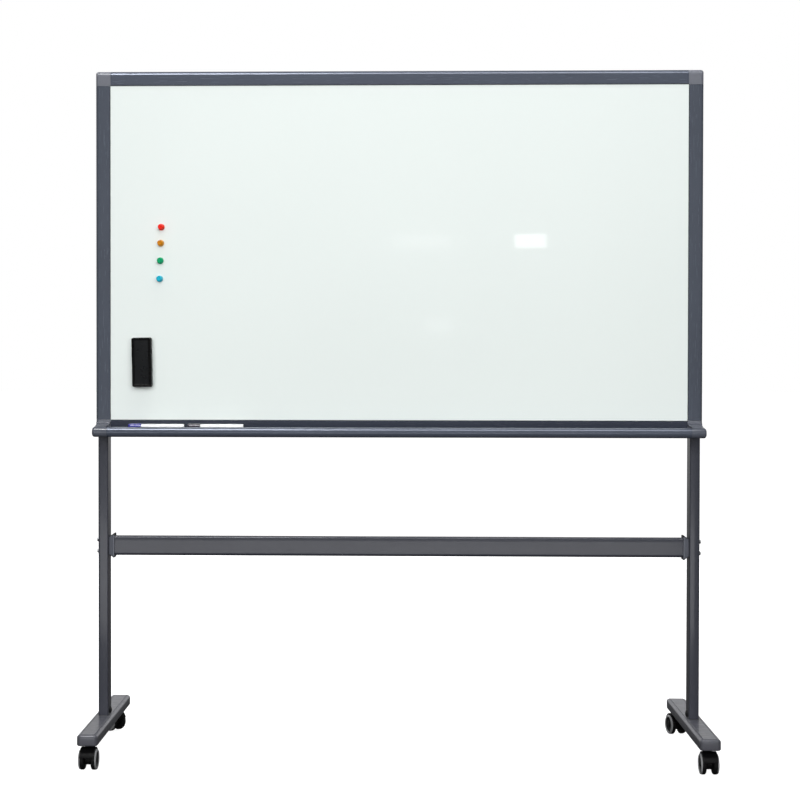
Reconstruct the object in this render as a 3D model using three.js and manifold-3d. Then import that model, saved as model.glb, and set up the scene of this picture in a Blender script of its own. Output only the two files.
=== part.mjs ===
// A rolling glass whiteboard: a framed glass board with a pen tray, held between two posts
// that stand on feet with swivelling twin-wheel casters.
// Millimetres. X runs along the board, Y from front to back, Z up.
// The origin is on the floor, midway between the posts.
import * as THREE from 'three';
import { mergeVertices } from 'three/addons/utils/BufferGeometryUtils.js';
import Module from 'manifold-3d';

const wasm = await Module();
wasm.setup();

// ---- driving dimensions ----
const gap = 0.3;                 // clearance between pieces that touch

const boardWidth = 1500;
const boardHeight = 900;
const boardTop = 1696;
const boardBottom = boardTop - boardHeight;
const frameFace = 36.5;          // width of the frame's face
const frameDepth = 31;
const frameEdgeRadius = { top: 12, bottom: 12, left: 7, right: 7 };   // of the outer front edges
const frameWall = 2;
const lipWidth = 10;             // how far the frame's lip covers the glass
const slotStart = 2;             // the panel's slot, measured back from the frame's front
const glassThickness = 4;
const backingThickness = 6;
const slotEnd = slotStart + glassThickness + backingThickness + 2 * gap;

const postWidth = 25;
const postDepth = 50;
const postRadius = 3;
const postWall = 2;
const postTop = 1650;
const postCentre = (boardWidth - postWidth) / 2;
const boardFront = -postDepth / 2 - 0.5 - frameDepth;

const footLength = 536;
const footWidth = 50;
const footTop = 88.5;
const footBottom = 61.5;
const footCorner = 10;
const footChamfer = 6;
const footWall = 2.5;

const barHeight = 49;
const barDepth = 25;
const barCentreZ = 514.5;
const barRadius = 5;
const barWall = 1.8;
const bracketReach = 14;         // how far a bracket's rim stands from its post
const barEndGap = 6;             // from the post to the bar's end

const boltHeights = { board: [930, 1560], bar: [barCentreZ - 14.3, barCentreZ + 14.3] };
const boltHole = 3.5;
const holeSides = 8;
const baseScrewZ = footTop + 10;

const trayFloor = 804.5;
const trayNoseRadius = 12.3;
const trayNoseFront = -124;
const trayNoseBottom = 791.5;
const trayNoseTop = trayNoseBottom + 2 * trayNoseRadius;

const wheelRadius = 25;
const wheelSegments = 24;
const wheelInner = 8.2;          // inner and outer side of a wheel, from the caster's middle
const wheelOuter = 22;
const casterTrail = 17.5;        // from the swivel axis to the axle
const casterAxleY = 236;         // distance of each axle from the post's plane

const magnetPlaces = {
  red: { x: -587, z: 1310 },
  orange: { x: -588.5, z: 1270.5 },
  green: { x: -589.5, z: 1227 },
  blue: { x: -591, z: 1182 },
};
const eraserCentre = { x: -633, z: 975 };
const eraserSize = { width: 49, height: 122.5, depth: 20, pad: 7 };
const eraserTilt = THREE.MathUtils.degToRad(1.15);

const markerRadius = 9.5;        // of the cap
const barrelRadius = 8.4;
const markerY = -78;
const markerCap = 34;
const markerLength = 141;
const markers = { blue: -667.5, black: -521 };   // where each marker's cap end lies

// ---- colours ----
const slate = { color: 0x3f434c, roughness: 0.45, metalness: 0.5 };
const slatePlastic = { color: 0x5b5e67, roughness: 0.5, metalness: 0.1 };
const blackPlastic = { color: 0x0d0d0e, roughness: 0.5, metalness: 0 };
const steel = { color: 0x9a9da2, roughness: 0.35, metalness: 0.9 };

// ---- small tools ----
const group = new THREE.Group();

// Adds one named piece to a parent, in its own material.
function piece(name, geometry, look, parent = group) {
  const mesh = new THREE.Mesh(geometry, new THREE.MeshStandardMaterial(look));
  mesh.name = name;
  parent.add(mesh);
  return mesh;
}

// A three.js geometry as a manifold solid. Triangles that a lathe leaves at its poles have no area
// and are dropped.
function solid(geometry) {
  const bare = geometry.clone();
  bare.deleteAttribute('normal');
  bare.deleteAttribute('uv');
  const merged = mergeVertices(bare, 1e-4);
  const index = merged.index.array;
  const triVerts = [];
  for (let i = 0; i < index.length; i += 3) {
    const [a, b, c] = [index[i], index[i + 1], index[i + 2]];
    if (a !== b && b !== c && c !== a) triVerts.push(a, b, c);
  }
  return new wasm.Manifold(new wasm.Mesh({
    numProp: 3,
    vertProperties: new Float32Array(merged.attributes.position.array),
    triVerts: new Uint32Array(triVerts),
  }));
}

// A manifold solid back as a geometry.
function shape(manifold) {
  const mesh = manifold.getMesh();
  const geometry = new THREE.BufferGeometry();
  geometry.setAttribute('position', new THREE.BufferAttribute(new Float32Array(mesh.vertProperties), 3));
  geometry.setIndex(new THREE.BufferAttribute(new Uint32Array(mesh.triVerts), 1));
  geometry.computeVertexNormals();
  return geometry;
}

// Cuts every tool from a body, and joins every extra to it.
function cut(body, ...tools) {
  return shape(tools.reduce((rest, tool) => rest.subtract(solid(tool)), solid(body)));
}
function join(...bodies) {
  return shape(bodies.slice(1).reduce((whole, body) => whole.add(solid(body)), solid(bodies[0])));
}
function common(a, b) {
  return shape(solid(a).intersect(solid(b)));
}

// A box between any two opposite corners.
function block(a, b) {
  const size = a.map((value, i) => Math.abs(value - b[i]));
  const middle = a.map((value, i) => (value + b[i]) / 2);
  return new THREE.BoxGeometry(...size).translate(...middle);
}

// Sections are drawn in two axes and pushed along the third: along X they are drawn in (Y, Z),
// along Y in (X, Z), and along Z in (X, Y). The two ends come in any order.
const sectionAxes = {
  x: new THREE.Matrix4().makeBasis(
    new THREE.Vector3(0, 1, 0), new THREE.Vector3(0, 0, 1), new THREE.Vector3(1, 0, 0)),
  y: new THREE.Matrix4().makeBasis(
    new THREE.Vector3(1, 0, 0), new THREE.Vector3(0, 0, 1), new THREE.Vector3(0, -1, 0)),
  z: new THREE.Matrix4(),
};
function push(section, axis, from, to) {
  const geometry = new THREE.ExtrudeGeometry(section, { depth: Math.abs(to - from), bevelEnabled: false });
  geometry.translate(0, 0, axis === 'y' ? -Math.max(from, to) : Math.min(from, to));
  return geometry.applyMatrix4(sectionAxes[axis]);
}

// A section from a list of [a, b] points, with an optional hole. The outline runs anticlockwise,
// so that the hole's direction never matters.
function outline(points, hole) {
  const vectors = points.map(([a, b]) => new THREE.Vector2(a, b));
  if (THREE.ShapeUtils.isClockWise(vectors)) vectors.reverse();
  const section = new THREE.Shape(vectors);
  if (hole) section.holes.push(new THREE.Path(hole.map(([a, b]) => new THREE.Vector2(a, b))));
  return section;
}

function arc(centreA, centreB, radius, fromDegrees, toDegrees, steps) {
  const points = [];
  for (let i = 0; i <= steps; i += 1) {
    const angle = THREE.MathUtils.degToRad(fromDegrees + ((toDegrees - fromDegrees) * i) / steps);
    points.push([centreA + radius * Math.cos(angle), centreB + radius * Math.sin(angle)]);
  }
  return points;
}

function roundedRectangle(width, height, radius, a = 0, b = 0, steps = 3) {
  const reachA = width / 2 - radius;
  const reachB = height / 2 - radius;
  return [
    ...arc(a + reachA, b + reachB, radius, 0, 90, steps),
    ...arc(a - reachA, b + reachB, radius, 90, 180, steps),
    ...arc(a - reachA, b - reachB, radius, 180, 270, steps),
    ...arc(a + reachA, b - reachB, radius, 270, 360, steps),
  ];
}

// A turned piece. The profile is a list of [radius, distance along the axis], and the axis is
// X, Y or Z through the given point.
const turnAxes = {
  x: new THREE.Matrix4().makeRotationZ(-Math.PI / 2),
  y: new THREE.Matrix4(),
  z: new THREE.Matrix4().makeRotationX(Math.PI / 2),
};
function turned(profile, axis, at = [0, 0, 0], segments = 16, start = 0) {
  const points = profile.map(([radius, along]) => new THREE.Vector2(radius, along));
  return new THREE.LatheGeometry(points, segments, start).applyMatrix4(turnAxes[axis]).translate(...at);
}
function rod(radius, low, high, axis, at, segments = 16) {
  return turned([[0, low], [radius, low], [radius, high], [0, high]], axis, at, segments);
}

// ---- the board ----
// The frame's section is drawn from its outer front corner: u runs in from the edge, v runs back.
function frontEdge(side) {
  const radius = frameEdgeRadius[side];
  return arc(radius, radius, radius, 180, 270, 5);
}
function frameOuter(side) {
  const back = frameFace - lipWidth;
  return [
    ...frontEdge(side), [frameFace, 0], [frameFace, slotStart - 0.2], [back, slotStart - 0.2],
    [back, slotEnd], [frameFace, slotEnd], [frameFace, slotEnd + frameWall], [back, slotEnd + frameWall],
    [back, frameDepth], [0, frameDepth],
  ];
}
function frameChamber() {
  const far = frameFace - lipWidth - frameWall;
  const near = frameWall;
  const deep = frameDepth - frameWall;
  const chamfer = 8;
  return [[near, near + chamfer], [near + chamfer, near + 0.5], [far, near + 0.5], [far, deep],
    [near, deep]];
}
function capOuter(side) {
  return [...frontEdge(side), [frameFace, 0], [frameFace, frameDepth], [0, frameDepth]];
}

// Where a point of the section goes on each side of the board.
const frameSides = {
  top: (u, v) => [boardFront + v, boardTop - u],
  bottom: (u, v) => [boardFront + v, boardBottom + u],
  left: (u, v) => [-boardWidth / 2 + u, boardFront + v],
  right: (u, v) => [boardWidth / 2 - u, boardFront + v],
};
function onSide(side, points) {
  return points.map(([u, v]) => frameSides[side](u, v));
}

function boardRails() {
  const reach = boardWidth / 2 - frameFace - gap;
  const low = boardBottom + frameFace + gap;
  const high = boardTop - frameFace - gap;
  for (const side of ['top', 'bottom']) {
    const section = outline(onSide(side, frameOuter(side)), onSide(side, frameChamber()));
    piece(`${side}_rail`, push(section, 'x', -reach, reach), slate);
  }
  for (const [side, sign] of [['left', -1], ['right', 1]]) {
    const section = outline(onSide(side, frameOuter(side)), onSide(side, frameChamber()));
    const holes = boltHeights.board.map((z) => (
      rod(boltHole, boardFront + frameDepth - 6, boardFront + frameDepth + 3, 'y',
        [sign * postCentre, 0, z], holeSides)));
    piece(`${side}_rail`, cut(push(section, 'z', low, high), ...holes), slate);
  }
}

// One corner block: both rails' outlines crossed, with a slot for the panel's corner and a spigot
// that fills the end of each rail.
const capSpigot = { overlap: 10, reach: 18, near: 9, far: 22, front: 9, back: 27 };
function cornerBlock(xSign, atTop) {
  const zSign = atTop ? 1 : -1;
  const edgeX = xSign * (boardWidth / 2);
  const innerX = edgeX - xSign * frameFace;
  const edgeZ = atTop ? boardTop : boardBottom;
  const innerZ = edgeZ - zSign * frameFace;
  const [level, upright] = [atTop ? 'top' : 'bottom', xSign < 0 ? 'left' : 'right'];
  const alongX = push(outline(onSide(level, capOuter(level))), 'x', edgeX, innerX);
  const alongZ = push(outline(onSide(upright, capOuter(upright))), 'z', edgeZ, innerZ);
  const slot = block(
    [innerX + xSign * lipWidth, boardFront + slotStart - 0.2, innerZ + zSign * lipWidth],
    [innerX - xSign * frameFace, boardFront + slotEnd, innerZ - zSign * frameFace]);
  const spigotX = block(
    [edgeX - xSign * capSpigot.overlap, boardFront + capSpigot.front, edgeZ - zSign * capSpigot.near],
    [innerX - xSign * capSpigot.reach, boardFront + capSpigot.back, edgeZ - zSign * capSpigot.far]);
  const spigotZ = block(
    [edgeX - xSign * capSpigot.near, boardFront + capSpigot.front, edgeZ - zSign * capSpigot.overlap],
    [edgeX - xSign * capSpigot.far, boardFront + capSpigot.back, innerZ - zSign * capSpigot.reach]);
  return join(cut(common(alongX, alongZ), slot), spigotX, spigotZ);
}

// The wall that closes an end of the tray: a ledge at the frame, a narrower web that slopes down to
// the nose, and the nose's rounded end.
const ledgeBottom = 819;
const ledgeTop = 827;
const ledgeDepth = 8;
const webSetBack = 10.5;         // how much narrower the web is than the ledge
const webRoot = boardFront + 9;  // inside the corner block, behind its rounded edge
const noseEndRadius = 6;         // seen from above
function trayEndWall(xSign) {
  const outer = xSign * (boardWidth / 2);
  const inner = outer - xSign * frameFace;
  const webInner = inner + xSign * webSetBack;
  const root = boardFront + 1;
  const ledgeFront = boardFront - ledgeDepth;
  const noseY = trayNoseFront + trayNoseRadius;
  const noseZ = trayNoseBottom + trayNoseRadius;
  const ledge = [[root, ledgeBottom], [root, ledgeTop], [ledgeFront + 2, ledgeTop],
    [ledgeFront, ledgeTop - 2], [ledgeFront, ledgeBottom + 2]];
  const web = [[webRoot, boardBottom + 1], [webRoot, ledgeTop - 1], [ledgeFront, ledgeTop - 4],
    [ledgeFront - 14, ledgeTop - 9], [noseY + 4, trayNoseTop - 0.5], [noseY, trayNoseBottom + 1]];
  const nose = [...arc(noseY, noseZ, trayNoseRadius, 90, 270, 8), [noseY + 10, trayNoseBottom],
    [noseY + 8, trayNoseTop]];
  const planDepth = 160;
  const plan = push(outline(roundedRectangle(2 * frameFace, planDepth, noseEndRadius,
    inner, trayNoseFront + planDepth / 2)), 'z', trayNoseBottom - 5, ledgeTop);
  return [
    push(outline(ledge), 'x', inner, outer),
    push(outline(web), 'x', webInner, outer),
    common(push(outline(nose), 'x', inner, outer), plan),
  ];
}

function corners() {
  for (const [name, sign] of [['left', -1], ['right', 1]]) {
    piece(`corner_cap_${name}`, cornerBlock(sign, true), slatePlastic);
    piece(`tray_end_${name}`, join(cornerBlock(sign, false), ...trayEndWall(sign)), slatePlastic);
  }
}

function panels() {
  const edge = frameFace - lipWidth + 1;
  const x = boardWidth / 2 - edge;
  const [low, high] = [boardBottom + edge, boardTop - edge];
  const glassFront = boardFront + slotStart;
  const glassBack = glassFront + glassThickness;
  piece('glass_panel', block([-x, glassFront, low], [x, glassBack, high]),
    { color: 0xe9f2f0, roughness: 0.08, metalness: 0 });
  piece('backing_panel', block([-x, glassBack + gap, low], [x, glassBack + gap + backingThickness, high]),
    { color: 0xc9ccd0, roughness: 0.5, metalness: 0.4 });
}

function penTray() {
  const back = boardFront - gap;
  const noseY = trayNoseFront + trayNoseRadius;
  const noseZ = trayNoseBottom + trayNoseRadius;
  const noseBack = noseY + trayNoseRadius;
  const thick = 2;
  const flangeTop = trayFloor + 10;
  const section = outline([
    [back, trayNoseBottom + 4], [back, flangeTop], [back - thick, flangeTop], [back - thick, trayFloor],
    [noseBack + 1.5, trayFloor], [noseBack, trayNoseTop],
    ...arc(noseY, noseZ, trayNoseRadius, 90, 270, 8),
    [noseBack, trayNoseBottom], [noseBack, trayFloor - thick], [back - thick, trayFloor - thick],
    [back - thick, trayNoseBottom + 4],
  ], arc(noseY, noseZ, trayNoseRadius - 2.5, 0, 330, 11));
  const reach = boardWidth / 2 - frameFace - gap;
  piece('pen_tray', push(section, 'x', -reach, reach), slate);
}

// ---- the stand ----
function posts() {
  for (const [name, sign] of [['left', -1], ['right', 1]]) {
    const x = sign * postCentre;
    const tube = push(outline(
      roundedRectangle(postWidth, postDepth, postRadius, x, 0),
      roundedRectangle(postWidth - 2 * postWall, postDepth - 2 * postWall, postRadius - 1.5, x, 0),
    ), 'z', footTop + gap, postTop);
    const barHoles = boltHeights.bar.map((z) => rod(boltHole, -20, 20, 'x', [x, 0, z], holeSides));
    const boardHoles = boltHeights.board.map((z) => rod(boltHole, -40, 40, 'y', [x, 0, z], holeSides));
    const baseHole = rod(boltHole, -10, 10, 'x', [x - sign * postWidth / 2, 0, baseScrewZ], holeSides);
    piece(`post_${name}`, cut(tube, ...barHoles, ...boardHoles, baseHole), slate);

    const cap = push(outline(roundedRectangle(postWidth, postDepth, postRadius, x, 0)),
      'z', postTop + gap, postTop + 3);
    const plug = push(outline(roundedRectangle(postWidth - 2 * postWall - 1, postDepth - 2 * postWall - 1,
      2, x, 0)), 'z', postTop - 14, postTop + 1);
    piece(`post_cap_${name}`, join(cap, plug), blackPlastic);
  }
}

// A foot: a closed tube with rounded corners, a spigot that fills the post's end, a hole for each
// caster's stem and one across the spigot for the base screw.
function feet() {
  for (const [name, sign] of [['left', -1], ['right', 1]]) {
    const x = sign * postCentre;
    const plan = outline(roundedRectangle(footWidth - 2 * footChamfer, footLength - 2 * footChamfer,
      footCorner - footChamfer, x, 0));
    const shell = new THREE.ExtrudeGeometry(plan, {
      depth: footTop - footBottom - 2 * footChamfer,
      bevelThickness: footChamfer,
      bevelSize: footChamfer,
      bevelSegments: 3,
    }).translate(0, 0, footBottom + footChamfer);
    const inside = block(
      [x - footWidth / 2 + footWall + 3, -footLength / 2 + footWall + 3, footBottom + footWall],
      [x + footWidth / 2 - footWall - 3, footLength / 2 - footWall - 3, footTop - footWall]);
    const stems = [-1, 1].map((end) => rod(4.8, footBottom - 1, footBottom + footWall + 1, 'z',
      [x, end * swivelY, 0], 12));
    const spigot = push(outline(roundedRectangle(postWidth - 2 * (postWall + gap),
      postDepth - 2 * (postWall + gap), 2, x, 0)), 'z', footTop - 1, footTop + 30);
    const screwHole = rod(boltHole, -20, 20, 'x', [x, 0, baseScrewZ], holeSides);
    piece(`foot_${name}`, cut(join(cut(shell, inside), spigot), screwHole, ...stems), slate);

    const head = turned([[0, 0], [9, 0], [9, 2], [6.5, 4.2], [0, 5]], 'x', [0, 0, 0], 16);
    const shank = rod(3, -18, 0.5, 'x', [0, 0, 0], holeSides);
    const screw = piece(`base_screw_${name}`, join(head, shank), blackPlastic);
    screw.position.set(sign * (postCentre - postWidth / 2 - gap), 0, baseScrewZ);
    if (sign > 0) screw.rotation.z = Math.PI;
  }
}

function crossBar() {
  const reach = boardWidth / 2 - postWidth - barEndGap;
  const section = outline(
    roundedRectangle(barDepth, barHeight, barRadius, 0, barCentreZ),
    roundedRectangle(barDepth - 2 * barWall, barHeight - 2 * barWall, barRadius - 1.5, 0, barCentreZ));
  piece('cross_bar', push(section, 'x', -reach, reach), slate);
}

// A bracket flares from the post to a rim around the bar, and its plug fills the bar's end.
// It is made for the left post, about its own origin at the post's face, and turned for the right.
function bracketShape() {
  const rim = { depth: 37, height: 61 };
  const root = { depth: 27, height: 45 };
  const flare = new THREE.CylinderGeometry(Math.SQRT1_2, Math.SQRT1_2 * (root.height / rim.height),
    bracketReach - gap, 4).rotateY(Math.PI / 4).rotateZ(-Math.PI / 2);
  const position = flare.attributes.position;
  for (let i = 0; i < position.count; i += 1) {
    const along = position.getX(i) + (bracketReach - gap) / 2;
    const atRim = along > bracketReach / 2;
    const size = atRim ? rim : root;
    position.setXYZ(i, along + gap,
      Math.sign(Math.round(position.getY(i) * 1e3)) * (size.depth / 2),
      Math.sign(Math.round(position.getZ(i) * 1e3)) * (size.height / 2));
  }
  const seat = push(outline(roundedRectangle(barDepth + 2 * gap, barHeight + 2 * gap, barRadius)),
    'x', barEndGap - gap, bracketReach + 5);
  const plug = push(outline(roundedRectangle(barDepth - 2 * barWall - 2 * gap,
    barHeight - 2 * barWall - 2 * gap, 3)), 'x', barEndGap - 1, 50);
  const bolts = [-14.3, 14.3].map((z) => rod(boltHole, -2, 42, 'x', [0, 0, z], holeSides));
  return cut(join(cut(flare, seat), plug), ...bolts);
}

// A bolt's washer and head in one, on a shank that runs the other way from its origin.
function boltShape(axis, shankLength) {
  const head = [[0, 0], [7, 0], [7, 1.3], [5, 1.3], [5, 4.6], [3.8, 6], [0, 6]];
  return join(turned(head, axis, [0, 0, 0], 10), rod(3, -shankLength, 0.5, axis, [0, 0, 0], holeSides));
}

function barFittings() {
  const bolts = boltShape('x', 62);
  for (const [name, sign] of [['left', -1], ['right', 1]]) {
    const bracket = piece(`bar_bracket_${name}`, bracketShape(), slatePlastic);
    bracket.position.set(sign * (boardWidth / 2 - postWidth), 0, barCentreZ);
    if (sign > 0) bracket.rotation.z = Math.PI;
    for (const [place, z] of [['lower', boltHeights.bar[0]], ['upper', boltHeights.bar[1]]]) {
      const bolt = piece(`bar_bolt_${name}_${place}`, bolts, steel);
      bolt.position.set(sign * (boardWidth / 2 + gap), 0, z);
      if (sign < 0) bolt.rotation.z = Math.PI;
    }
  }
}

// The bolts that hold the board run from the back of each post into the frame's side rail.
function boardBolts() {
  const bolts = boltShape('y', 58);
  for (const [name, sign] of [['left', -1], ['right', 1]]) {
    for (const [place, z] of [['lower', boltHeights.board[0]], ['upper', boltHeights.board[1]]]) {
      const bolt = piece(`board_bolt_${name}_${place}`, bolts, steel);
      bolt.position.set(sign * postCentre, postDepth / 2 + gap, z);
    }
  }
}

// ---- casters ----
// Each caster is built about its swivel axis, with its wheels trailing towards -Y, and then turned.
const swivelY = casterAxleY - casterTrail;
const casters = {
  front_left: { x: -postCentre, y: -swivelY, degrees: -2 },
  front_right: { x: postCentre, y: -swivelY, degrees: 1 },
  rear_left: { x: -postCentre, y: swivelY, degrees: 180 + 50 },
  rear_right: { x: postCentre, y: swivelY, degrees: 180 + 14 },
};
const axleRadius = 3;
const stemRadius = 4;

function stemShape() {
  return turned([[0, 36], [stemRadius, 36], [stemRadius, 57.6], [11, 57.6], [11, footBottom - gap],
    [4.4, footBottom - gap], [4.4, 78], [0, 78]], 'z', [0, 0, 0], 12);
}

// The hood: a web between the wheels with the stem's socket, and a fender arched over both wheels.
function hoodShape() {
  const webHalf = wheelInner - 1;
  const fenderHalf = wheelOuter - 4;
  const fenderInner = wheelRadius + 1.2;
  const fenderOuter = wheelRadius + 4.6;
  const axle = [-casterTrail, wheelRadius];
  const web = outline([
    ...arc(...axle, 13, 150, 330, 6), [9, 29], [10, 34], [10, 56.8], [-10, 56.8],
    ...arc(...axle, fenderOuter - 0.6, 80, 150, 4),
  ]);
  const fender = outline([
    ...arc(...axle, fenderOuter, 20, 165, 9), ...arc(...axle, fenderInner, 165, 20, 9),
  ]);
  const plate = push(web, 'x', -webHalf, webHalf);
  const arch = push(fender, 'x', -fenderHalf, fenderHalf);
  const collar = rod(12, 49, 57.2, 'z', [0, 0, 0], 16);
  const room = [[-25, -webHalf], [webHalf, 25]].map(([low, high]) => (
    rod(fenderInner, low, high, 'x', [0, ...axle], 18)));
  const bore = rod(stemRadius + 0.3, 35, 60, 'z', [0, 0, 0], 12);
  const axleHole = rod(axleRadius + 0.3, -12, 12, 'x', [0, ...axle], 12);
  const whole = join(plate, arch, collar);
  return cut(whole, ...room, bore, axleHole);
}

// A wheel, with its polygon set so that a flat side rests on the floor.
function wheelShape() {
  const flat = 1 / Math.cos(Math.PI / wheelSegments);
  const boreDepth = wheelOuter - 6;
  const profile = [
    [axleRadius + 0.3, wheelInner], [23, wheelInner], [wheelRadius * flat, wheelInner + 3],
    [wheelRadius * flat, wheelOuter - 4], [23, wheelOuter - 1], [19.5, wheelOuter - 0.2],
    [18.5, wheelOuter - 2], [0, wheelOuter - 1], [0, boreDepth], [axleRadius + 0.3, boreDepth],
    [axleRadius + 0.3, wheelInner],
  ];
  return turned(profile, 'x', [0, 0, 0], wheelSegments, Math.PI / wheelSegments);
}

function buildCasters() {
  const hood = hoodShape();
  const stem = stemShape();
  const wheel = wheelShape();
  const axle = rod(axleRadius, -15.4, 15.4, 'x', [0, 0, 0], 12);
  for (const [name, place] of Object.entries(casters)) {
    const caster = new THREE.Group();
    caster.position.set(place.x, place.y, 0);
    caster.rotation.z = THREE.MathUtils.degToRad(place.degrees);
    group.add(caster);
    piece(`caster_${name}_stem`, stem, steel, caster);
    piece(`caster_${name}_hood`, hood, blackPlastic, caster);
    const onAxle = new THREE.Group();
    onAxle.position.set(0, -casterTrail, wheelRadius);
    caster.add(onAxle);
    piece(`caster_${name}_axle`, axle, steel, onAxle);
    for (const [side, turn] of [['a', 0], ['b', Math.PI]]) {
      const rim = piece(`caster_${name}_wheel_${side}`, wheel, { color: 0x151516, roughness: 0.6 }, onAxle);
      rim.rotation.z = turn;
    }
  }
}

// ---- what is on the board ----
function magnets() {
  const colours = { red: 0xe02a18, orange: 0xd08a1c, green: 0x069b67, blue: 0x25a4c0 };
  const profile = [[0, 0], [8.3, 0], [8.3, 3.6], [4.6, 6], [4.2, 10], [6.6, 15], [6.6, 18], [0, 19.6]];
  for (const [name, place] of Object.entries(magnetPlaces)) {
    const magnet = piece(`magnet_${name}`, turned(profile, 'y', [0, 0, 0], 14),
      { color: colours[name], roughness: 0.25 });
    magnet.rotation.x = Math.PI;
    magnet.position.set(place.x, boardFront + slotStart - gap, place.z);
  }
}

function eraser() {
  const { width, height, depth, pad } = eraserSize;
  const holder = new THREE.Group();
  holder.position.set(eraserCentre.x, boardFront + slotStart - gap, eraserCentre.z);
  holder.rotation.y = -eraserTilt;
  group.add(holder);
  const felt = push(outline(roundedRectangle(width - 3, height - 3, 5)), 'y', -pad, 0);
  piece('eraser_pad', felt, { color: 0x1c1c1f, roughness: 0.95 }, holder);
  const bevel = 3;
  const shellPlan = outline(roundedRectangle(width - 2 * bevel, height - 2 * bevel, 3));
  const shell = new THREE.ExtrudeGeometry(shellPlan, {
    depth: depth - 2 * bevel, bevelThickness: bevel, bevelSize: bevel, bevelSegments: 2,
  }).applyMatrix4(sectionAxes.y).translate(0, -pad - gap - bevel, 0);
  piece('eraser_body', shell, blackPlastic, holder);
}

// A marker lies along X: a capped end on the left, and a barrel whose neck fills the cap.
function buildMarkers() {
  const white = { color: 0xf2f2f2, roughness: 0.3 };
  const capColours = { blue: 0x2f36a8, black: 0x17171a };
  const end = markerLength - 1;
  for (const [name, x] of Object.entries(markers)) {
    const marker = new THREE.Group();
    marker.position.set(x, markerY, trayFloor + gap + markerRadius);
    group.add(marker);
    const cap = turned([[0, 1], [6.5, 1], [8.3, 2.5], [markerRadius, 7], [markerRadius, markerCap - gap],
      [7.6, markerCap - gap], [7.6, 12], [0, 12]], 'x');
    const barrel = turned([[0, 14], [3, 14], [4.5, 20], [7.2, 22], [7.2, markerCap],
      [barrelRadius, markerCap], [barrelRadius, end - 2], [barrelRadius - 1, end], [0, end]], 'x');
    piece(`marker_${name}_cap`, cap, { color: capColours[name], roughness: 0.3 }, marker);
    piece(`marker_${name}_barrel`, barrel, white, marker);
  }
}

boardRails();
corners();
panels();
penTray();
posts();
feet();
crossBar();
barFittings();
boardBolts();
buildCasters();
magnets();
eraser();
buildMarkers();

export default group;
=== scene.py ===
"""A rolling glass whiteboard: its looks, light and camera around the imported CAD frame.

Shapes are given in millimetres in the frame's own axes (X along the board, Y from front to back,
Z up) and are turned into metres when a piece is made.
"""
import math

import bmesh
import bpy
from mathutils import Matrix, Vector

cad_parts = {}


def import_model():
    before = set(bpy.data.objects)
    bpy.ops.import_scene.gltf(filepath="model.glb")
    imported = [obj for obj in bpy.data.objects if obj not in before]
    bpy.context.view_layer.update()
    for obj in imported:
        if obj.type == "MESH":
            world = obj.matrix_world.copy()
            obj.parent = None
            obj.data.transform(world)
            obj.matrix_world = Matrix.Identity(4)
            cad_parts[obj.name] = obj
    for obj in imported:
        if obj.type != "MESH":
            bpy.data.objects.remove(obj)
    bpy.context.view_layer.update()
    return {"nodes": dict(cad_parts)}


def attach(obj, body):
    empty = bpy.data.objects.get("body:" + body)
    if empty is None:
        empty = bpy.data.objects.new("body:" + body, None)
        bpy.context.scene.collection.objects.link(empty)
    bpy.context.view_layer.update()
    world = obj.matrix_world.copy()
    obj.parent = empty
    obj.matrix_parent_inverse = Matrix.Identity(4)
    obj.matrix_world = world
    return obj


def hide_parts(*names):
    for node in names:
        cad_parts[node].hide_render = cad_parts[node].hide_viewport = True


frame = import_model()

MM = 0.001
SIDES = (("left", -1), ("right", 1))

# ---- the board and its stand ----
BOARD_HALF = 750
BOARD_TOP, BOARD_BOTTOM = 1696, 796
BOARD_FRONT = -56.5
FACE = 36.5              # width of the frame's face
DEPTH = 31
LEVEL_RADIUS = 12        # rounding of the front edge along the top and bottom
UPRIGHT_RADIUS = 7       # and down the sides
GASKET = 1.7             # width of the seal between the frame and the glass
SEAM = 0.3               # gap between two pieces
LIP = 10                 # how far the frame covers the glass
SLOT_START, SLOT_END = 1.9, 12.6    # the slot for the glass and its backing, behind the front
SHEET_EDGE = FACE - LIP + 1         # from the board's edge to the edges of both sheets
GLASS_SHEET = (-54.5, -50.5)        # front and back of the glass, in Y
BACKING_SHEET = (-50.2, -44.2)
RIB_HEIGHTS = (1395, 1095)          # the middles of the ribs pressed across the backing

POST_X = 737.5
POST_WIDTH, POST_DEPTH, POST_RADIUS = 25, 50, 3
POST_TOP = 1650
FOOT_TOP, FOOT_BOTTOM = 88.5, 61.5
FOOT_WIDTH, FOOT_LENGTH = 50, 536
BAR_Z = 514.5
BAR_DEPTH, BAR_HEIGHT = 25, 49
BRACKET_REACH = 14
BOLT_SPREAD = 14.3       # of the two bar bolts, above and below the bar's middle
BOARD_BOLTS = {"lower": 930, "upper": 1560}

NOSE_RADIUS = 12.3
NOSE_Y, NOSE_Z = -111.7, 803.8
TRAY_FLOOR = 804.5
LEDGE_BOTTOM, LEDGE_TOP = 819, 827

# ---- the casters: where each swivels, and how far it is turned from trailing to the front ----
SWIVEL_Y = 218.5
CASTERS = {
    "front_left": (-POST_X, -SWIVEL_Y, -2),
    "front_right": (POST_X, -SWIVEL_Y, 1),
    "rear_left": (-POST_X, SWIVEL_Y, 230),
    "rear_right": (POST_X, SWIVEL_Y, 194),
}
WHEEL_RADIUS = 25
WHEEL_INNER, WHEEL_OUTER = 8.2, 22
TRAIL = 17.5
COLLAR_BOTTOM, COLLAR_TOP = 48.8, 57.2
STEM_FLANGE = (57.5, 61.2)

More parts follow.
